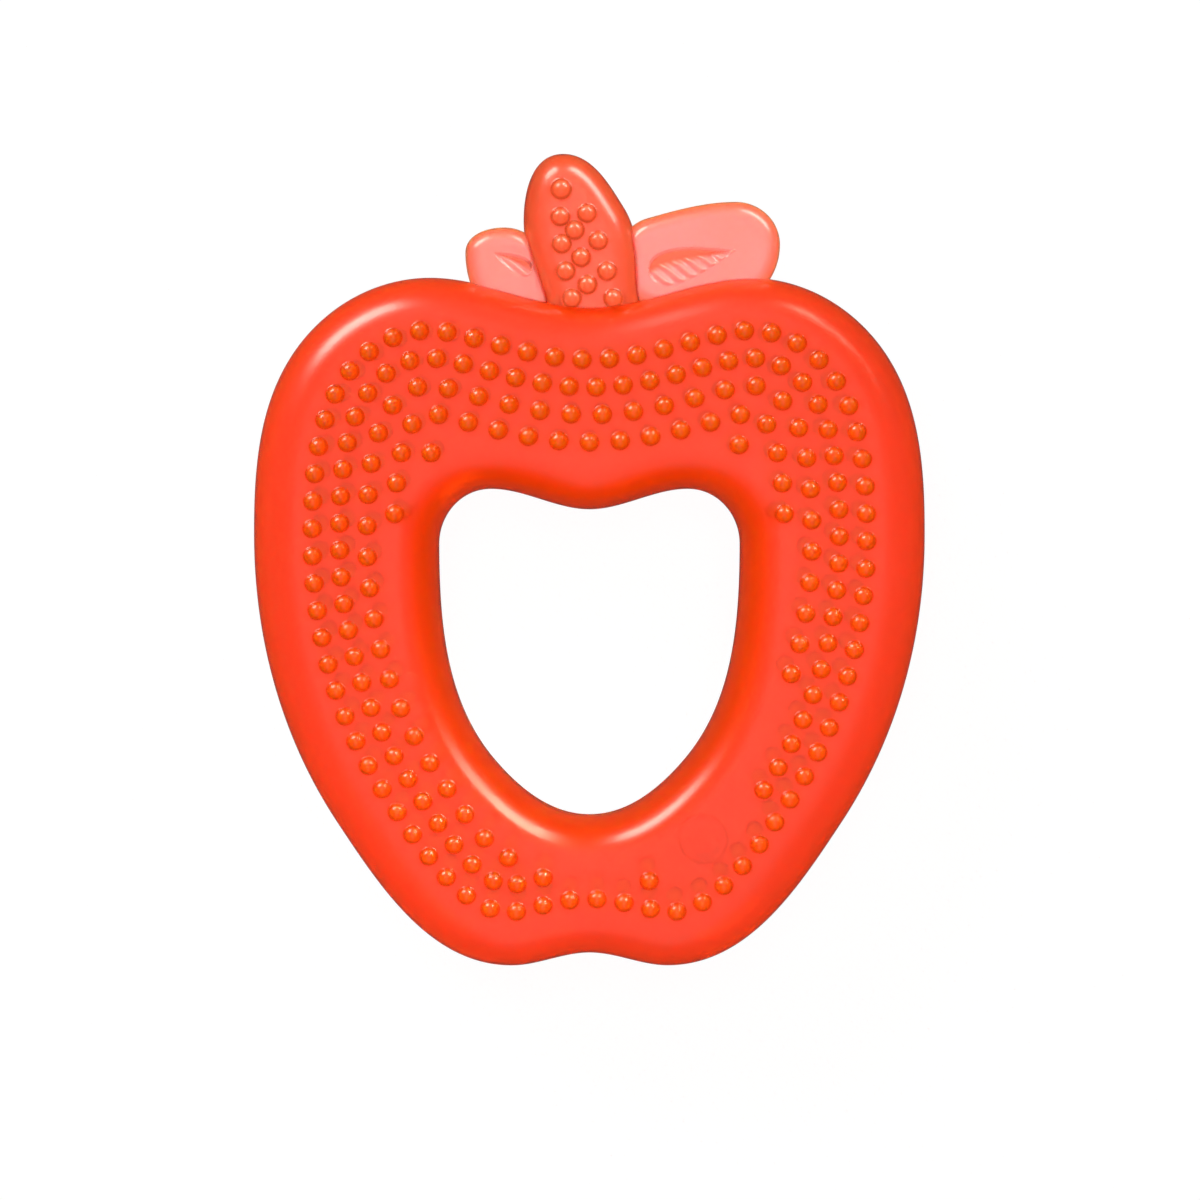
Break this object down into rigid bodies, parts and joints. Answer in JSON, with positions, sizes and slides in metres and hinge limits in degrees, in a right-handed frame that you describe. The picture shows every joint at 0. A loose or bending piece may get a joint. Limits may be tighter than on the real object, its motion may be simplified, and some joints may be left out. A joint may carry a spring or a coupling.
{
  "type": "teething ring",
  "caption": "Soft water-filled teething ring in the outline of an apple, with rows of round bumps on both faces, a bumpy stem and two thin leaves to bite on.",
  "frame": {"origin": "on the plane of the rear bump tips, on which the ring lies, under the middle of the whole outline", "axes": "+X to the right of the front view, +Y from the base of the apple towards the stem, +Z out of the front face"},
  "size_m": [0.082, 0.0994, 0.0164],
  "materials": {
    "ring_skin": "gloss",
    "water": "gloss",
    "plug": "satin",
    "stem": "gloss",
    "leaf": "gloss"
  },
  "bodies": {
    "root": {"front_shell": "ring_skin", "rear_shell": "ring_skin", "water_fill": "water", "fill_plug": "plug", "stem": "stem", "left_leaf": "leaf", "right_leaf": "leaf"}
  },
  "joints": []
}
